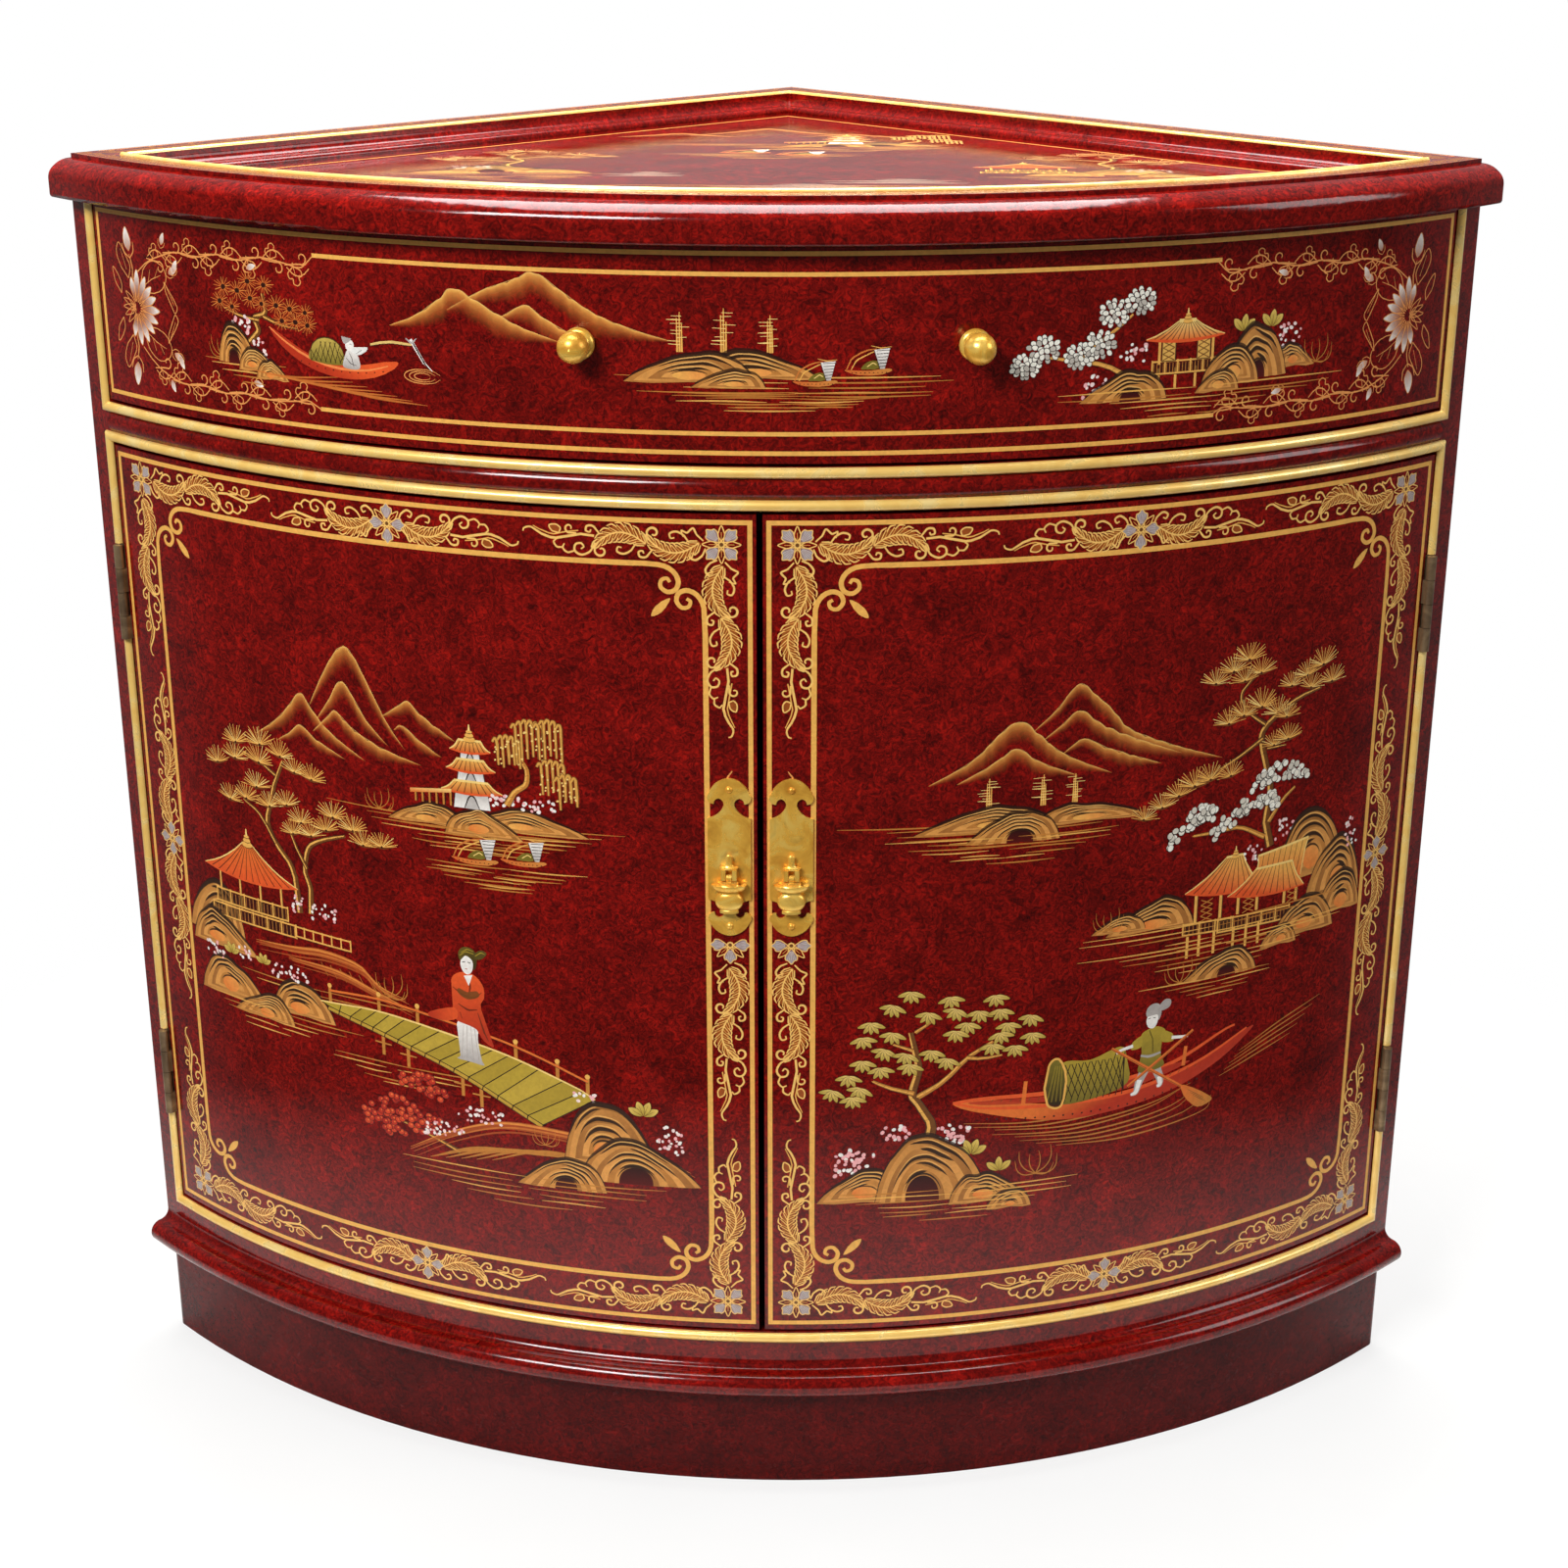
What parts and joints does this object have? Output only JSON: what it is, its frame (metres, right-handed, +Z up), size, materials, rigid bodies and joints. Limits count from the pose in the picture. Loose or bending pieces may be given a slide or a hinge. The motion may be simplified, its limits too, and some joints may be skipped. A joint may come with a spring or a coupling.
{
  "type": "corner cabinet",
  "caption": "Bow-front lacquer corner cabinet: a drawer above a pair of hinged doors, tray top with raised lip, moulded base and plinth, brass plates with pagoda drop pulls.",
  "frame": {"origin": "centre of the bounding box at floor level", "axes": "+Z up, front faces -Y, +X to the viewer's right; the back corner of the room is at +Y on the centre line"},
  "size_m": [0.717, 0.507, 0.674],
  "materials": {
    "lacquer": "glossy red lacquer over wood, mottled darker, with painted decoration on the fronts",
    "plinth_lacquer": "very dark red lacquer",
    "inside_lacquer": "satin dark red paint",
    "bare_wood": "plain unlacquered wood",
    "gilt": "gilded wooden bead",
    "brass": "cast brass, worn and slightly tarnished",
    "hinge_brass": "dull aged brass",
    "steel": "plated steel",
    "catch": "brown plastic housing of a magnetic catch"
  },
  "bodies": {
    "cabinet": {"back_panel_left": "lacquer", "back_panel_right": "lacquer", "corner_post": "bare_wood", "front_stile_left": "lacquer", "front_stile_right": "lacquer", "hinge_frame_leaves": "hinge_brass", "hinge_pins": "hinge_brass", "plinth_front": "plinth_lacquer", "plinth_blocks": "bare_wood", "base_moulding": "lacquer", "bottom_rail": "lacquer", "mid_rail": "lacquer", "stile_bead_left": "gilt", "stile_bead_right": "gilt", "mid_bead_lower": "gilt", "mid_bead_upper": "gilt", "bottom_bead": "gilt", "top_front_rail": "lacquer", "top_back_rail_left": "lacquer", "top_back_rail_right": "lacquer", "top_panel": "lacquer", "tray_moulding_front": "lacquer", "tray_moulding_left": "lacquer", "tray_moulding_right": "lacquer", "tray_lip_bead": "gilt", "bottom_board": "inside_lacquer", "bottom_cleats": "bare_wood", "shelf": "inside_lacquer", "shelf_cleats": "bare_wood", "dust_board": "bare_wood", "dust_cleats": "bare_wood", "top_cleats": "bare_wood", "drawer_runners": "bare_wood", "drawer_stops": "bare_wood", "door_catches": "catch"},
    "drawer": {"drawer_front": "lacquer", "drawer_side_left": "bare_wood", "drawer_side_right": "bare_wood", "drawer_bottom": "bare_wood", "drawer_back": "bare_wood", "knobs": "brass", "knob_screws": "steel"},
    "left_door": {"left_door_panel": "lacquer", "left_hinge_leaves": "hinge_brass", "left_lock_plate": "brass", "left_plate_pins": "brass", "left_pull_bracket": "brass", "left_pull_pin": "brass", "left_catch_strike": "steel"},
    "right_door": {"right_door_panel": "lacquer", "right_hinge_leaves": "hinge_brass", "right_lock_plate": "brass", "right_plate_pins": "brass", "right_pull_bracket": "brass", "right_pull_pin": "brass", "right_catch_strike": "steel"},
    "left_pull": {"left_pagoda_drop": "brass"},
    "right_pull": {"right_pagoda_drop": "brass"}
  },
  "joints": [
    {"name": "drawer_slide", "type": "slide", "parent": "cabinet", "child": "drawer", "axis": [0, -1, 0], "range_m": [0, 0.15]},
    {"name": "left_door_hinge", "type": "hinge", "parent": "cabinet", "child": "left_door", "pos_m": [-0.33883, -0.11106, 0.3105], "axis": [0, 0, -1], "range_deg": [0, 100]},
    {"name": "right_door_hinge", "type": "hinge", "parent": "cabinet", "child": "right_door", "pos_m": [0.33883, -0.11106, 0.3105], "axis": [0, 0, 1], "range_deg": [0, 100]},
    {"name": "left_pull_swing", "type": "hinge", "parent": "left_door", "child": "left_pull", "pos_m": [-0.01512, -0.24527, 0.3483], "axis": [-0.9995, 0.0303, 0], "range_deg": [0, 80]},
    {"name": "right_pull_swing", "type": "hinge", "parent": "right_door", "child": "right_pull", "pos_m": [0.01512, -0.24527, 0.3483], "axis": [-0.9995, -0.0303, 0], "range_deg": [0, 80]}
  ]
}
